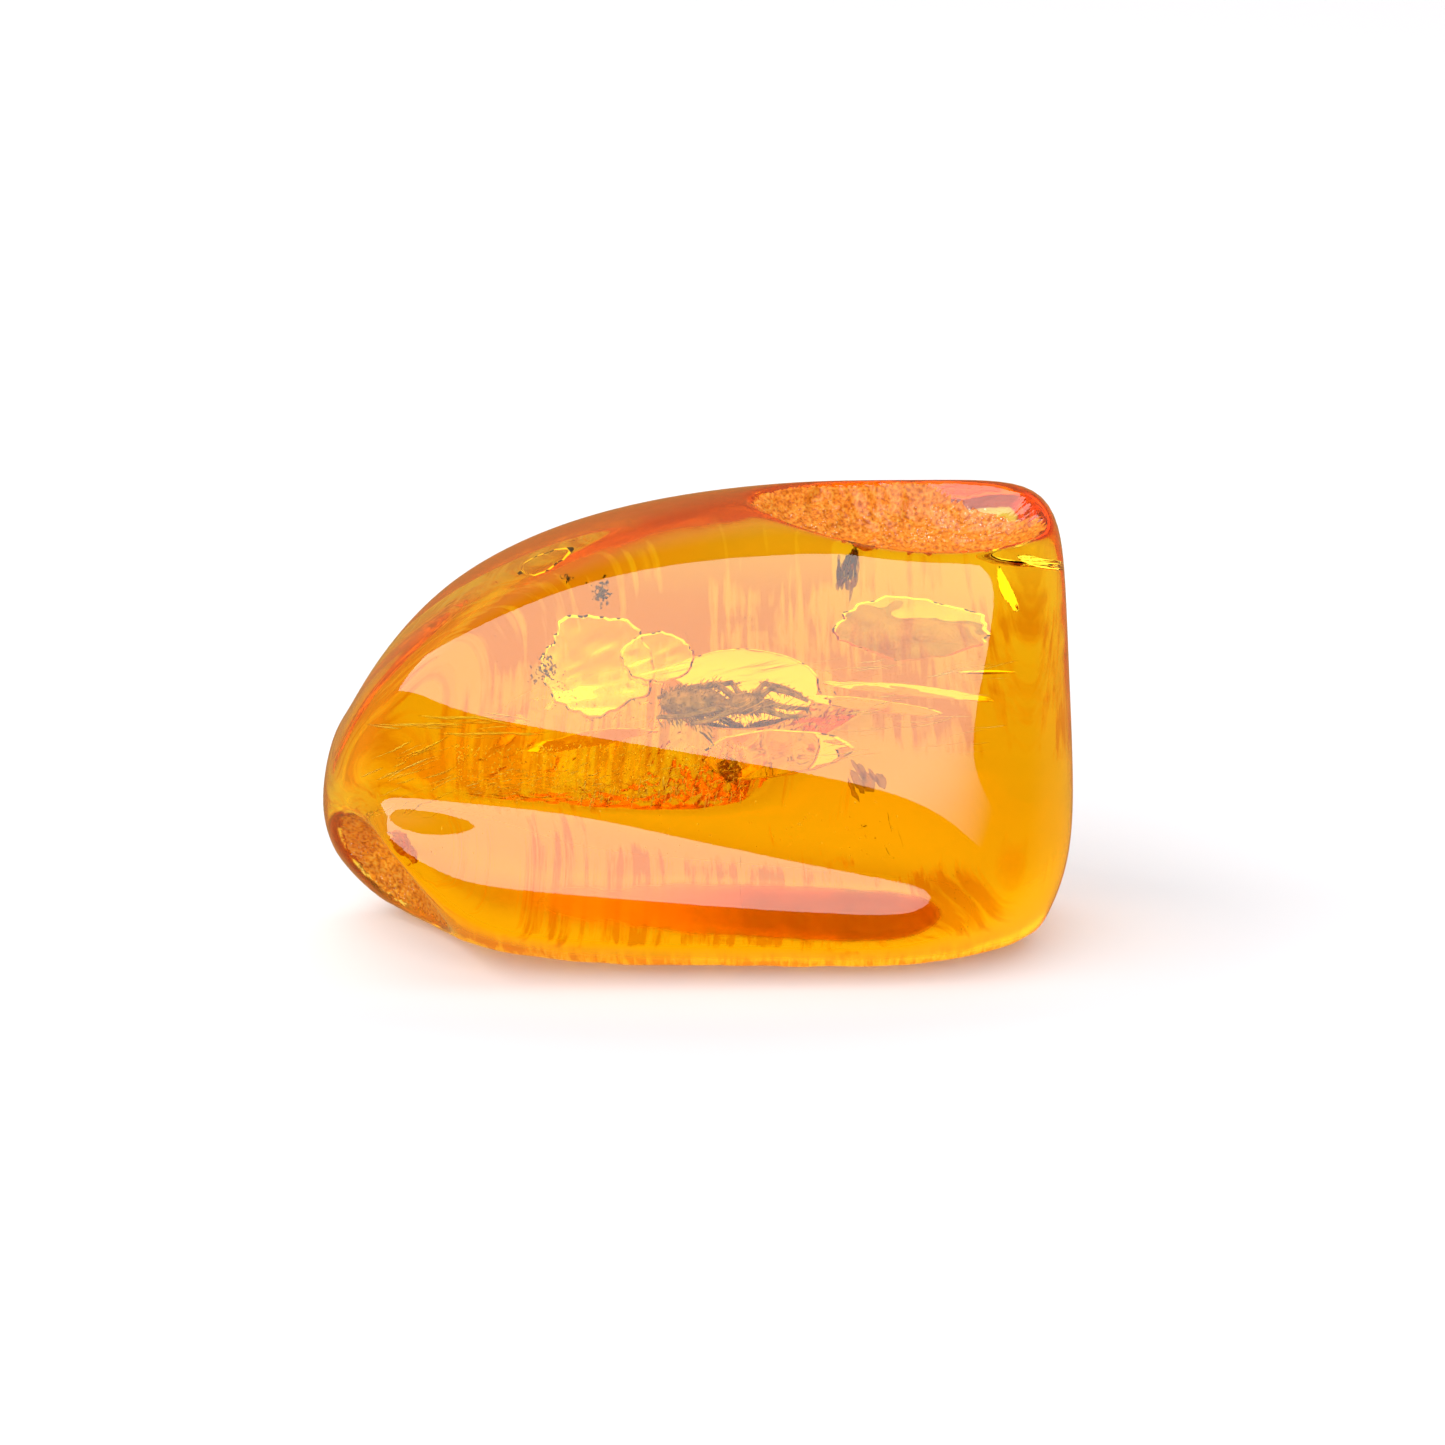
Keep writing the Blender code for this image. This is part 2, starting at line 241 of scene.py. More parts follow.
def form_points(directions):
    """Where the lines from the heart in these directions leave the form."""
    heart = np.array(HEART)
    lines = directions * np.array(SPREAD)
    inner = np.zeros(len(lines))
    outer = np.full(len(lines), FURTHEST)
    walking = np.ones(len(lines), bool)
    for distance in np.linspace(0.3, FURTHEST, 40):
        is_in = outside_form(heart + lines * distance) < 0
        outer[walking & ~is_in] = distance
        walking &= is_in
        inner[walking] = distance
    for _ in range(18):
        middle = (inner + outer) / 2
        is_in = outside_form(heart + lines * middle[:, None]) < 0
        inner = np.where(is_in, middle, inner)
        outer = np.where(is_in, outer, middle)
    return heart + lines * inner[:, None]


def crust_amount(points, rim, hollows=HOLLOWS):
    """1 in the hollows, 0 on the polish further than the rim's width outside them."""
    deepest = np.max([inside_hollow(points, *shape[:3]) for shape in hollows], axis=0)
    return np.clip(deepest / rim + 1, 0.0, 1.0)


def rough_amount(points):
    """As crust_amount, for the two rough hollows. The top one's far wall is smooth past a ridge."""
    past_ridge = (points[:, :2] - np.array(RIDGE_AT)) @ np.array(RIDGE_FACING)
    top = crust_amount(points, CRUST_RIM, HOLLOWS[:1]) * np.clip(0.3 - past_ridge / RIDGE_FADE, 0.0, 1.0)
    return np.maximum(top, crust_amount(points, CRUST_RIM, HOLLOWS[1:2]))


def skin_amount(points, normals):
    """1 on the back and the underside, which kept a weathered skin, 0 on the polished rest."""
    facing = np.maximum(normals[:, 1] * 1.15, -normals[:, 2])
    below_polish = np.clip((SKIN_TOP - points[:, 2]) / SKIN_FADE, 0.0, 1.0)
    return np.clip((facing - 0.45) / 0.35, 0.0, 1.0) * below_polish


def stain_amount(points):
    """How much darker (above 0) or lighter the skin's stain is at each place."""
    total = np.zeros(len(points))
    for centre, radii, amount in STAINS:
        out = np.linalg.norm((points - np.array(centre)) / np.array(radii), axis=1)
        total += amount * np.clip(1.3 - out, 0.0, 1.0)
    return total


def lump(point, size):
    return noise.noise(Vector(point) / size)


def form_mesh():
    """The stone as one closed mesh in mm, with small cells and real grain in the hollows."""
    bm = bmesh.new()
    bmesh.ops.create_cube(bm, size=2.0)
    bmesh.ops.subdivide_edges(bm, edges=bm.edges, cuts=FORM_CELLS - 1, use_grid_fill=True)
    spots = np.tan(np.array([vert.co for vert in bm.verts]) * (math.pi / 4))
    points = form_points(spots / np.linalg.norm(spots, axis=1)[:, None])
    for vert, point in zip(bm.verts, points):
        vert.co = point

    near = crust_amount(points, CRUST_REACH)
    bm.verts.index_update()
    rough_edges = [edge for edge in bm.edges if max(near[vert.index] for vert in edge.verts) > 0]
    old = set(bm.verts)
    bmesh.ops.subdivide_edges(bm, edges=rough_edges, cuts=CRUST_CUTS, use_grid_fill=True)
    new = [vert for vert in bm.verts if vert not in old]
    ways = (np.array([vert.co for vert in new]) - np.array(HEART)) / np.array(SPREAD)
    for vert, point in zip(new, form_points(ways / np.linalg.norm(ways, axis=1)[:, None])):
        vert.co = point
    bmesh.ops.triangulate(bm, faces=bm.faces)
    bm.normal_update()

    points = np.array([vert.co for vert in bm.verts])
    normals = np.array([vert.normal for vert in bm.verts])
    matte = rough_amount(points)
    crust = np.maximum(matte, crust_amount(points, CRUST_RIM, HOLLOWS[2:]))
    skin = skin_amount(points, normals)
    under = np.clip(-2 * normals[:, 2] - 0.5, 0.0, 1.0)
    worn = np.maximum(0.2 * skin + 0.2 * under * skin, 0.25 * crust)
    amounts = {"crust": matte, "skin": skin, "worn": worn, "stain": stain_amount(points)}
    layers = {name: bm.verts.layers.float.new(name) for name in amounts}
    for index, vert in enumerate(bm.verts):
        for name, layer in layers.items():
            vert[layer] = amounts[name][index]
        at = vert.co
        if crust[index] > 0 and at.z > 0.05:
            grain = (0.17 * lump(at, 1.1) + 0.13 * lump(at, 0.45)
                     + 0.1 * abs(lump(at, 0.22)) + 0.05 * lump(at, 0.11))
            vert.co += vert.normal * (grain - CRUST_SINK) * crust[index]
        elif skin[index] > 0:
            dent = 0.05 + 0.05 * lump(at, 1.7) + 0.02 * lump(at, 0.7)
            vert.co -= vert.normal * max(dent, 0.0) * skin[index]
    for face in bm.faces:
        middle = face.calc_center_median()
        if min(vert[layers["crust"]] for vert in face.verts) > 0.45 + 0.25 * lump(middle, 0.3):
            face.material_index = 1
    return bm


def look_along(px, py):
    """The camera's line through a place in the picture, in mm."""
    a = math.radians(CAMERA_TILT)
    back, up = Vector((0, -math.cos(a), math.sin(a))), Vector((0, math.sin(a), math.cos(a)))
    eye = Vector(CAMERA_TARGET) + back * CAMERA_DISTANCE
    across = Vector((1, 0, 0)) * (px - PHOTO_CENTRE) * MM_PER_PIXEL
    spot = Vector(CAMERA_TARGET) + across + up * (PHOTO_CENTRE - py) * MM_PER_PIXEL
    return eye, (spot - eye).normalized()


def inside(tree, px, py, depth):
    """The place inside the stone, at y = depth, that shows at px, py through the polish."""
    eye, way = look_along(px, py)
    hit, normal, _, _ = tree.ray_cast(eye, way)
    if hit is None:
        return None
    facing = -way.dot(normal)
    bent = way / AMBER_IOR + normal * (facing / AMBER_IOR - math.sqrt(1 - (1 - facing**2) / AMBER_IOR**2))
    return hit + bent * ((depth - hit.y) / bent.y)


def add_crack(
    bm, at, size, lean, gap, seed, roll=0, turn=0, bend=0.0, ridges=0, ridge=0.0, ragged=0.12, fine=1
):
    """A lens-shaped gap inside the amber: a closed shell whose faces look into the gap."""
    turned = Euler([math.radians(angle) for angle in (-lean, roll, turn)]).to_matrix()
    rings, around = round(9 * fine), round(36 * fine)
    centre = Vector(at)

    def spot(ring, step, side):
        way = 2 * math.pi * step / around
        out = ring / rings
        edge = (math.cos(way), math.sin(way), seed)
        reach = 1 + ragged * (lump(edge, 0.6) + 0.5 * lump(edge, 0.2))
        u, v = out * reach * math.cos(way) * size[0] / 2, out * reach * math.sin(way) * size[1] / 2
        height = bend * (u * u + v * v) / size[0] + 0.02 * lump((u, v, seed), 0.8)
        if ridges:
            fan = math.atan2(v + 0.55 * size[1], u + 0.75 * size[0])
            height += ridge * lump((fan * ridges, 0.3 * out, seed), 1.0) * min(1.0, 3 * out)
        height += side * gap / 2 * (1 - out * out)
        return centre + turned @ Vector((u, v, height))

    sheets = []
    rim = [bm.verts.new(spot(rings, step, 0)) for step in range(around)]
    for side in (1, -1):
        middle = bm.verts.new(spot(0, 0, side))
        rows = [
            [bm.verts.new(spot(ring, step, side)) for step in range(around)] for ring in range(1, rings)
        ] + [rim]
        faces = []
        for step in range(around):
            after = (step + 1) % around
            faces.append([middle, rows[0][step], rows[0][after]])
            for inner, outer in zip(rows, rows[1:]):
                faces.append([inner[step], outer[step], outer[after], inner[after]])
        sheets.append((side, faces))
    for side, faces in sheets:
        for corners in faces:
            bm.faces.new(corners[::-1] if side > 0 else corners)


def add_cracks(bm, tree):
    for px, py, depth, size, options in CRACKS:
        add_crack(bm, inside(tree, px, py, depth), size, **options)


def is_inside(at, margin):
    return at is not None and outside_form(np.array([at]))[0] < -margin


def add_flake(bm, at, size, turned, tone):
    """A thin splinter with a ragged outline."""
    corners = 6
    rings = []
    for side in (1, -1):
        ring = []
        for corner in range(corners):
            way = 2 * math.pi * corner / corners
            out = 0.5 * (0.6 + 0.4 * math.sin(corner * 2.1 + size[0] * 40))
            height = side * FLAKE_THICKNESS / 2 + 0.2 * math.cos(2 * way) * size[0]
            spot = Vector((out * size[0] * math.cos(way), out * size[1] * math.sin(way), height))
            ring.append(bm.verts.new(at + turned @ spot))
        rings.append(ring)
    faces = [bm.faces.new(rings[0]), bm.faces.new(rings[1][::-1])]
    for corner in range(corners):
        after = (corner + 1) % corners
        faces.append(bm.faces.new([rings[0][after], rings[0][corner], rings[1][corner], rings[1][after]]))
    for face in faces:
        face.material_index = tone


def add_strand(bm, points, width, depth, tone):
    """A tapered thread along a line of points, wider than it is deep."""
    rows = []
    for index, point in enumerate(points[1:-1], 1):
        along = (points[index + 1] - points[index - 1]).normalized()
        across = along.cross(Vector((0, 1, 0))).normalized()
        out = along.cross(across)
        taper = math.sin(math.pi * index / (len(points) - 1)) ** 0.6
        row = []
        for x, y in ((1, 0), (0, 1), (-1, 0), (0, -1)):
            row.append(bm.verts.new(point + (across * width * x + out * depth * y) * taper / 2))
        rows.append(row)
    ends = bm.verts.new(points[0]), bm.verts.new(points[-1])
    faces = []
    for side in range(4):
        after = (side + 1) % 4
        faces.append(bm.faces.new([ends[0], rows[0][after], rows[0][side]]))
        faces.append(bm.faces.new([ends[1], rows[-1][side], rows[-1][after]]))
        for low, high in zip(rows, rows[1:]):
            faces.append(bm.faces.new([low[side], low[after], high[after], high[side]]))
    for face in faces:
        face.material_index = tone
        face.smooth = True


def any_turn(dice):
    """A turn to any side, drawn with the dice."""
    return Euler((dice.uniform(0, 3), dice.uniform(0, 3), dice.uniform(0, 3))).to_matrix()


def make_flakes(tree):
    bm = bmesh.new()
    for px0, py0, px1, py1, depth, spread, count, longest, seed in GLITTER:
        dice = random.Random(seed)
        for _ in range(count):
            px, py = dice.uniform(px0, px1), dice.uniform(py0, py1)
            at = inside(tree, px, py, depth + dice.uniform(-spread, spread))
            size = longest * dice.uniform(0.15, 1) ** 1.5
            if is_inside(at, MARGIN):
                shape, turned = (size * dice.uniform(0.3, 1), size), any_turn(dice)
                # Four in five flakes are pale: painted glints.
                add_flake(bm, at, shape, turned, PALE_GLINT if dice.random() < 0.8 else GOLDEN)
    for px, py, depth, radius, count, largest, seed in SPECKS:
        dice = random.Random(seed)
        middle = inside(tree, px, py, depth)
        for _ in range(count):
            at = middle + Vector([dice.gauss(0, radius / 2) for _ in range(3)])
            size = largest * dice.uniform(0.3, 1)
            if is_inside(at, MARGIN):
                add_flake(bm, at, (size, size * dice.uniform(0.6, 1)), any_turn(dice), DARK)
    # The pale grains are painted glints on the crust, the dark ones are grains in it.
    for px0, py0, px1, py1, count, largest, tone, seed in CRUST_GRAINS_AND_GLINTS:
        dice = random.Random(seed)
        for _ in range(count):
            eye, way = look_along(dice.uniform(px0, px1), dice.uniform(py0, py1))
            at = tree.ray_cast(eye, way)[0]
            if at is not None and rough_amount(np.array([at]))[0] > 0.4:
                size = largest * dice.uniform(0.3, 1)
                add_flake(bm, at, (size, size * dice.uniform(0.4, 1)), any_turn(dice), tone)
    return finish_piece("flakes", bm, inner_materials())


def make_streaks(tree):
    bm = bmesh.new()
    for px0, py0, px1, py1, depth, spread, count, length, widest, slant, tone, seed in STREAKS:
        dice = random.Random(seed)
        for _ in range(count):
            px, py = dice.uniform(px0, px1), dice.uniform(py0, py1)
            deep = depth + dice.uniform(-spread, spread)
            angle = math.radians(slant + dice.uniform(-7, 7))
            reach = length * dice.uniform(0.3, 1.2) / MM_PER_PIXEL / 2
            bow = dice.uniform(-0.12, 0.12) * reach
            points = []
            for step in range(8):
                out = step / 3.5 - 1
                x = px + math.cos(angle) * reach * out + math.sin(angle) * bow * (1 - out * out)
                y = py - math.sin(angle) * reach * out + math.cos(angle) * bow * (1 - out * out)
                points.append(inside(tree, x, y, deep + 0.1 * math.sin(step)))
            if all(is_inside(point, MARGIN) for point in points):
                width = widest * dice.uniform(0.25, 1)
                add_strand(bm, points, width, width * 0.3, tone)
    return finish_piece("streaks", bm, inner_materials())


def make_hairs(spider):
    """Bristles on the spider: longer on the abdomen, combed back, with a few between the legs."""
    dice = random.Random(7)
    bm = bmesh.new()
    faces = list(spider.data.polygons)
    weights = [face.area for face in faces]
    for _ in range(HAIR_COUNT):
        face = dice.choices(faces, weights)[0]
        corners = [spider.data.vertices[index].co for index in face.vertices[:3]]
        a, b = sorted((dice.random(), dice.random()))
        root = (corners[0] * a + corners[1] * (b - a) + corners[2] * (1 - b)) / MM
        back = Vector((dice.uniform(0.1, 1.3), dice.uniform(-0.3, 0.3), dice.uniform(0, 0.7)))
        way = (face.normal + back * 0.8).normalized()
        length = dice.uniform(0.1, 0.32) * (1.6 if root.x < ABDOMEN_END else 1.0)
        droop = Vector((0, 0, -0.3 * length))
        points = [root - way * 0.03 + way * length * step / 5 + droop * (step / 5) ** 2 for step in range(6)]
        add_strand(bm, points, HAIR_WIDTH, HAIR_WIDTH, 0)
    return finish_piece("spider_hairs", bm, [chitin_material()])


def finish_piece(name, bm, materials):
    bmesh.ops.scale(bm, vec=(MM, MM, MM), verts=bm.verts)
    mesh = bpy.data.meshes.new(name)
    bm.to_mesh(mesh)
    bm.free()
    return add_piece(name, mesh, materials)


def make_amber():
    bm = form_mesh()
    tree = BVHTree.FromBMesh(bm)
    add_cracks(bm, tree)
    bmesh.ops.scale(bm, vec=(MM, MM, MM), verts=bm.verts)
    mesh = bpy.data.meshes.new("amber")
    bm.to_mesh(mesh)
    bm.free()
    mesh.shade_smooth()
    return add_piece("amber", mesh, [amber_material(), crust_material()]), tree


def add_piece(name, mesh, materials):
    for material in materials:
        mesh.materials.append(material)
    obj = bpy.data.objects.new(name, mesh)
    bpy.context.scene.collection.objects.link(obj)
    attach(obj, "root")
    return obj


# Materials


def new_material(name):
    material = bpy.data.materials.new(name)
    material.use_nodes = True
    nodes, links = material.node_tree.nodes, material.node_tree.links
    return material, nodes, links, nodes["Principled BSDF"]


def add_absorption(nodes, links):
    absorb = nodes.new("ShaderNodeVolumeAbsorption")
    absorb.inputs["Color"].default_value = (0.986, 0.873, 0.067, 1.0)
    absorb.inputs["Density"].default_value = 600.0
    links.new(absorb.outputs["Volume"], nodes["Material Output"].inputs["Volume"])


def amber_material():
    material, nodes, links, shader = new_material("Clear_amber")
    shader.inputs["Transmission Weight"].default_value = 1.0
    shader.inputs["IOR"].default_value = AMBER_IOR
    skin = nodes.new("ShaderNodeAttribute")
    skin.attribute_name = "skin"

    # The skin is stained in clouds, and in streaks that run from front to back.
    coords = nodes.new("ShaderNodeTexCoord")
    streaks, clouds = nodes.new("ShaderNodeTexNoise"), nodes.new("ShaderNodeTexNoise")
    stretch = nodes.new("ShaderNodeMapping")
    stretch.inputs["Rotation"].default_value = (0, 0, math.radians(4))
    stretch.inputs["Scale"].default_value = (3600, 330, 420)
    streaks.inputs["Scale"].default_value = 1.0
    streaks.inputs["Detail"].default_value = 3.0
    streaks.inputs["Distortion"].default_value = 0.3
    clouds.inputs["Scale"].default_value = 330.0
    clouds.inputs["Detail"].default_value = 4.0
    clouds.inputs["Distortion"].default_value = 0.8
    links.new(coords.outputs["Object"], stretch.inputs["Vector"])
    links.new(stretch.outputs["Vector"], streaks.inputs["Vector"])
    links.new(coords.outputs["Object"], clouds.inputs["Vector"])
    both = nodes.new("ShaderNodeMix")
    both.data_type = "FLOAT"
    both.inputs["Factor"].default_value = 0.5
    links.new(streaks.outputs["Fac"], both.inputs["A"])
    links.new(clouds.outputs["Fac"], both.inputs["B"])
    stains = nodes.new("ShaderNodeValToRGB")
    stains.color_ramp.elements[0].position = 0.445
    stains.color_ramp.elements[0].color = (0.74, 0.33, 0.04, 1)
    stains.color_ramp.elements[1].position = 0.56
    stains.color_ramp.elements[1].color = (1.0, 0.98, 0.75, 1)
    middle = stains.color_ramp.elements.new(0.5)
    middle.color = (0.98, 0.68, 0.2, 1)
    stained = nodes.new("ShaderNodeAttribute")
    stained.attribute_name = "stain"
    places = nodes.new("ShaderNodeMath")
    places.operation = "SUBTRACT"
    links.new(both.outputs["Result"], places.inputs[0])
    links.new(stained.outputs["Fac"], places.inputs[1])
    links.new(places.outputs["Value"], stains.inputs["Fac"])
    tint = nodes.new("ShaderNodeMix")
    tint.data_type = "RGBA"
    tint.inputs["A"].default_value = (1.0, 0.985, 0.95, 1.0)
    links.new(skin.outputs["Fac"], tint.inputs["Factor"])
    links.new(stains.outputs["Color"], tint.inputs["B"])
    links.new(tint.outputs["Result"], shader.inputs["Base Color"])

    worn = nodes.new("ShaderNodeAttribute")
    worn.attribute_name = "worn"
    links.new(worn.outputs["Fac"], shader.inputs["Roughness"])
    add_absorption(nodes, links)
    return material


def crust_material():
    material, nodes, links, shader = new_material("Amber_crust")
    shader.inputs["Transmission Weight"].default_value = 0.5
    shader.inputs["Specular IOR Level"].default_value = 0.06
    shader.inputs["IOR"].default_value = AMBER_IOR
    shader.inputs["Roughness"].default_value = 0.3
    coords = nodes.new("ShaderNodeTexCoord")
    specks = nodes.new("ShaderNodeTexNoise")
    specks.inputs["Scale"].default_value = 7000.0
    specks.inputs["Detail"].default_value = 3.0
    links.new(coords.outputs["Object"], specks.inputs["Vector"])
    tones = nodes.new("ShaderNodeValToRGB")
    tones.color_ramp.elements[0].position = 0.36
    tones.color_ramp.elements[0].color = (0.6, 0.12, 0.001, 1)
    tones.color_ramp.elements[1].position = 0.68
    tones.color_ramp.elements[1].color = (0.95, 0.42, 0.04, 1)
    middle = tones.color_ramp.elements.new(0.5)
    middle.color = (0.92, 0.25, 0.004, 1)
    links.new(specks.outputs["Fac"], tones.inputs["Fac"])
    links.new(tones.outputs["Color"], shader.inputs["Base Color"])
    bump = nodes.new("ShaderNodeBump")
    bump.inputs["Strength"].default_value = 0.6
    bump.inputs["Distance"].default_value = 0.00006
    links.new(specks.outputs["Fac"], bump.inputs["Height"])
    links.new(bump.outputs["Normal"], shader.inputs["Normal"])
    add_absorption(nodes, links)
    return material


def inner_material(name, dark, pale, alpha, size=1400.0):
    material, nodes, links, shader = new_material(name)
    shader.inputs["Roughness"].default_value = 0.35
    shader.inputs["Alpha"].default_value = alpha
    coords = nodes.new("ShaderNodeTexCoord")
    cloud = nodes.new("ShaderNodeTexNoise")
    cloud.inputs["Scale"].default_value = size
    links.new(coords.outputs["Object"], cloud.inputs["Vector"])
    tones = nodes.new("ShaderNodeValToRGB")
    tones.color_ramp.elements[0].position = 0.35
    tones.color_ramp.elements[0].color = (*dark, 1)
    tones.color_ramp.elements[1].position = 0.62
    tones.color_ramp.elements[1].color = (*pale, 1)
    links.new(cloud.outputs["Fac"], tones.inputs["Fac"])
    links.new(tones.outputs["Color"], shader.inputs["Base Color"])
    return material


def inner_materials():
    """Tones of what lies in the amber: pale (partly painted glints), golden, brown, dark."""
    return [
        inner_material("Pale_flakes_and_glints", (0.9, 0.6, 0.25), (1.0, 0.95, 0.75), 1.0),
        inner_material("Golden_streaks", (1.0, 0.6, 0.1), (1.0, 0.9, 0.4), 0.55),
        inner_material("Brown_streaks", (0.36, 0.12, 0.015), (0.62, 0.26, 0.04), 0.42),
        inner_material("Dark_debris", (0.06, 0.035, 0.02), (0.24, 0.13, 0.06), 0.85, 3000.0),
    ]


def chitin_material():
    material, nodes, links, shader = new_material("Dull_chitin")
    shader.inputs["Roughness"].default_value = 0.55
    coords = nodes.new("ShaderNodeTexCoord")
    mottle = nodes.new("ShaderNodeTexNoise")
    mottle.inputs["Scale"].default_value = 2600.0
    mottle.inputs["Detail"].default_value = 4.0
    links.new(coords.outputs["Object"], mottle.inputs["Vector"])
    tones = nodes.new("ShaderNodeValToRGB")
    tones.color_ramp.elements[0].position = 0.36
    tones.color_ramp.elements[0].color = (0.2, 0.155, 0.12, 1)
    tones.color_ramp.elements[1].position = 0.66
    tones.color_ramp.elements[1].color = (0.58, 0.49, 0.4, 1)
    links.new(mottle.outputs["Fac"], tones.inputs["Fac"])
    links.new(tones.outputs["Color"], shader.inputs["Base Color"])
    bump = nodes.new("ShaderNodeBump")
    bump.inputs["Strength"].default_value = 0.5
    bump.inputs["Distance"].default_value = 0.00004
    links.new(mottle.outputs["Fac"], bump.inputs["Height"])
    links.new(bump.outputs["Normal"], shader.inputs["Normal"])
    return material


def floor_material():
    material, nodes, links, shader = new_material("White_card")
    shader.inputs["Base Color"].default_value = (0.468, 0.462, 0.473, 1.0)
    shader.inputs["Roughness"].default_value = 0.9
    shader.inputs["Specular IOR Level"].default_value = 0.1

    # Painted light: the floor emits a warm glow round the stone, which stands in for the light that came
    # through the amber.
    coords = nodes.new("ShaderNodeTexCoord")
    place = nodes.new("ShaderNodeMapping")
    place.vector_type = "TEXTURE"
    place.inputs["Location"].default_value = (-0.001, 0.0, 0)
    place.inputs["Scale"].default_value = (0.0165, 0.0085, 1)
    out = nodes.new("ShaderNodeVectorMath")
    out.operation = "LENGTH"
    painted_glow = nodes.new("ShaderNodeMapRange")
    painted_glow.interpolation_type = "SMOOTHSTEP"
    painted_glow.inputs["From Min"].default_value = 0.85
    painted_glow.inputs["From Max"].default_value = 1.5
    painted_glow.inputs["To Min"].default_value = 0.24
    painted_glow.inputs["To Max"].default_value = 0.0
    links.new(coords.outputs["Object"], place.inputs["Vector"])
    links.new(place.outputs["Vector"], out.inputs[0])
    links.new(out.outputs["Value"], painted_glow.inputs["Value"])
    shader.inputs["Emission Color"].default_value = (1.0, 0.72, 0.52, 1.0)
    links.new(painted_glow.outputs["Result"], shader.inputs["Emission Strength"])
    return material


# Scene


def add_panel(name, facing, distance, shift, size, roll, radiance, fade=0.0):
    """A soft panel round the stone. Azimuth 0 is in front and 90 on its right.

    Shift and size are in distances. It grows dim over the share of its width called fade,
    towards its right end."""
    a, e = math.radians(facing[0]), math.radians(facing[1])
    axis = Vector((math.sin(a) * math.cos(e), -math.cos(a) * math.cos(e), math.sin(e)))
    right = Vector((math.cos(a), math.sin(a), 0))
    up = axis.cross(right)
    up = up if up.z > 0 else -up
    light = bpy.data.lights.new(name, "AREA")
    light.shape = "RECTANGLE"
    light.size, light.size_y = size[0] * distance, size[1] * distance
    light.energy = radiance * math.pi * light.size * light.size_y
    obj = bpy.data.objects.new(name, light)
    bpy.context.scene.collection.objects.link(obj)
    obj.location = Vector((0, 0, 0.009)) + (axis + right * shift[0] + up * shift[1]) * distance
    r = math.radians(roll)
    side = right * math.cos(r) + up * math.sin(r)
    obj.rotation_euler = Matrix((side, axis.cross(side), axis)).transposed().to_euler()
    obj.visible_camera = False
    if fade:
        light.use_nodes = True
        nodes, links = light.node_tree.nodes, light.node_tree.links
        geometry, split = nodes.new("ShaderNodeNewGeometry"), nodes.new("ShaderNodeSeparateXYZ")
        dim = nodes.new("ShaderNodeMapRange")
        dim.interpolation_type = "SMOOTHSTEP"
        dim.inputs["From Min"].default_value = 1.0
        dim.inputs["From Max"].default_value = 1.0 - fade
        links.new(geometry.outputs["Parametric"], split.inputs["Vector"])
        links.new(split.outputs["X"], dim.inputs["Value"])
        links.new(dim.outputs["Result"], nodes["Emission"].inputs["Strength"])
    return obj


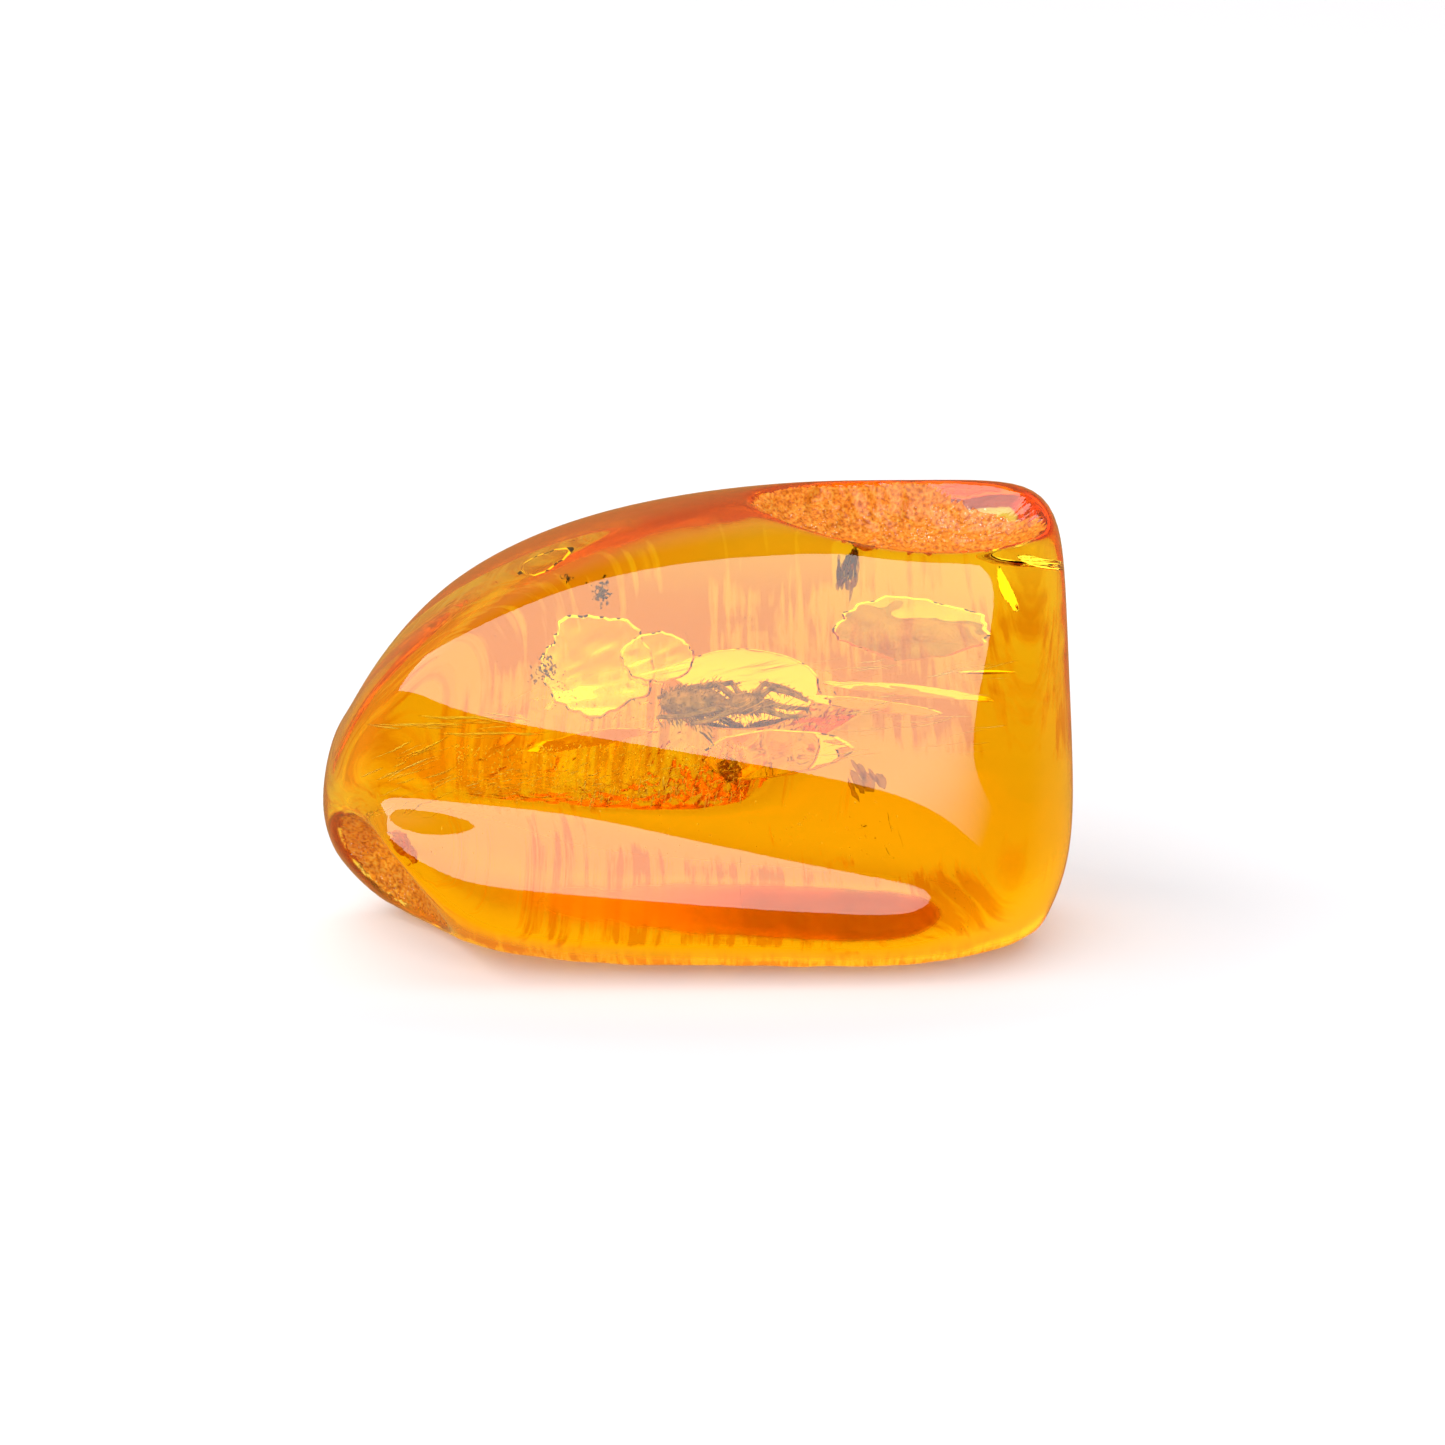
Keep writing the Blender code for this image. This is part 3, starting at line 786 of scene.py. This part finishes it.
def make_stage():
    bm = bmesh.new()
    bmesh.ops.create_grid(bm, x_segments=2, y_segments=2, size=3.0)
    mesh = bpy.data.meshes.new("floor")
    bm.to_mesh(mesh)
    bm.free()
    floor = bpy.data.objects.new("floor", mesh)
    bpy.context.scene.collection.objects.link(floor)
    mesh.materials.append(floor_material())
    floor.location.z = -0.00003
    floor.visible_glossy = False

    world = bpy.data.worlds.new("Studio")
    bpy.context.scene.world = world
    world.use_nodes = True
    nodes, links = world.node_tree.nodes, world.node_tree.links
    background = nodes["Background"]
    coords = nodes.new("ShaderNodeTexCoord")
    split = nodes.new("ShaderNodeSeparateXYZ")
    links.new(coords.outputs["Generated"], split.inputs["Vector"])
    # What the polish mirrors is warm and dim, and brighter overhead. What shines through, and what lights
    # the floor, is plain white behind the stone and greyer in front of it.
    heights = nodes.new("ShaderNodeValToRGB")
    for height, colour in ((0.1, (0.42, 0.25, 0.09)), (0.5, (0.32, 0.22, 0.12)), (0.78, (0.6, 0.42, 0.24))):
        stop = heights.color_ramp.elements.new(height)
        stop.color = (*colour, 1)
    heights.color_ramp.elements[0].color = (0.42, 0.25, 0.09, 1)
    heights.color_ramp.elements[-1].color = (0.8, 0.62, 0.45, 1)
    links.new(split.outputs["Z"], heights.inputs["Fac"])

    def front_to_back(front_level):
        levels = nodes.new("ShaderNodeMapRange")
        levels.inputs["From Min"].default_value = -0.35
        levels.inputs["From Max"].default_value = 0.1
        levels.inputs["To Min"].default_value = front_level
        levels.inputs["To Max"].default_value = 1.0
        links.new(split.outputs["Y"], levels.inputs["Value"])
        return levels.outputs["Result"]

    mirrored = nodes.new("ShaderNodeVectorMath")
    mirrored.operation = "SCALE"
    links.new(heights.outputs["Color"], mirrored.inputs["Vector"])
    links.new(front_to_back(0.05), mirrored.inputs["Scale"])
    rays = nodes.new("ShaderNodeLightPath")
    either = nodes.new("ShaderNodeMix")
    either.data_type = "RGBA"
    softly = nodes.new("ShaderNodeMath")
    softly.operation = "MAXIMUM"
    links.new(rays.outputs["Is Transmission Ray"], softly.inputs[0])
    links.new(rays.outputs["Is Diffuse Ray"], softly.inputs[1])
    links.new(softly.outputs["Value"], either.inputs["Factor"])
    links.new(mirrored.outputs["Vector"], either.inputs["A"])
    links.new(front_to_back(0.4), either.inputs["B"])
    links.new(either.outputs["Result"], background.inputs["Color"])
    background.inputs["Strength"].default_value = 1.2

    overhead = add_panel("overhead", (180, 70), 1.6, (0, 0), (2.4, 1.5), 0, 1.3)
    overhead.visible_glossy = False
    add_panel("softbox", (-22, 42), 1.6, (0.244, -0.143), (3.67, 0.78), -18, 4.4, 0.36)


def make_camera():
    camera = bpy.data.objects.new("camera", bpy.data.cameras.new("camera"))
    bpy.context.scene.collection.objects.link(camera)
    camera.data.lens = CAMERA_LENS
    camera.data.sensor_width = CAMERA_SENSOR
    camera.data.clip_start = 0.01
    eye, _ = look_along(PHOTO_CENTRE, PHOTO_CENTRE)
    target = Vector(CAMERA_TARGET)
    camera.location = eye * MM
    camera.rotation_euler = (target - eye).to_track_quat("-Z", "Y").to_euler()
    bpy.context.scene.camera = camera


make_camera()
bpy.context.scene.view_settings.view_transform = "Standard"
make_stage()
amber, tree = make_amber()
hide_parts("amber_top", "amber_bottom")
make_flakes(tree)
make_streaks(tree)
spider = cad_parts["spider"]
for slot in spider.material_slots:
    slot.material = chitin_material()
make_hairs(spider)
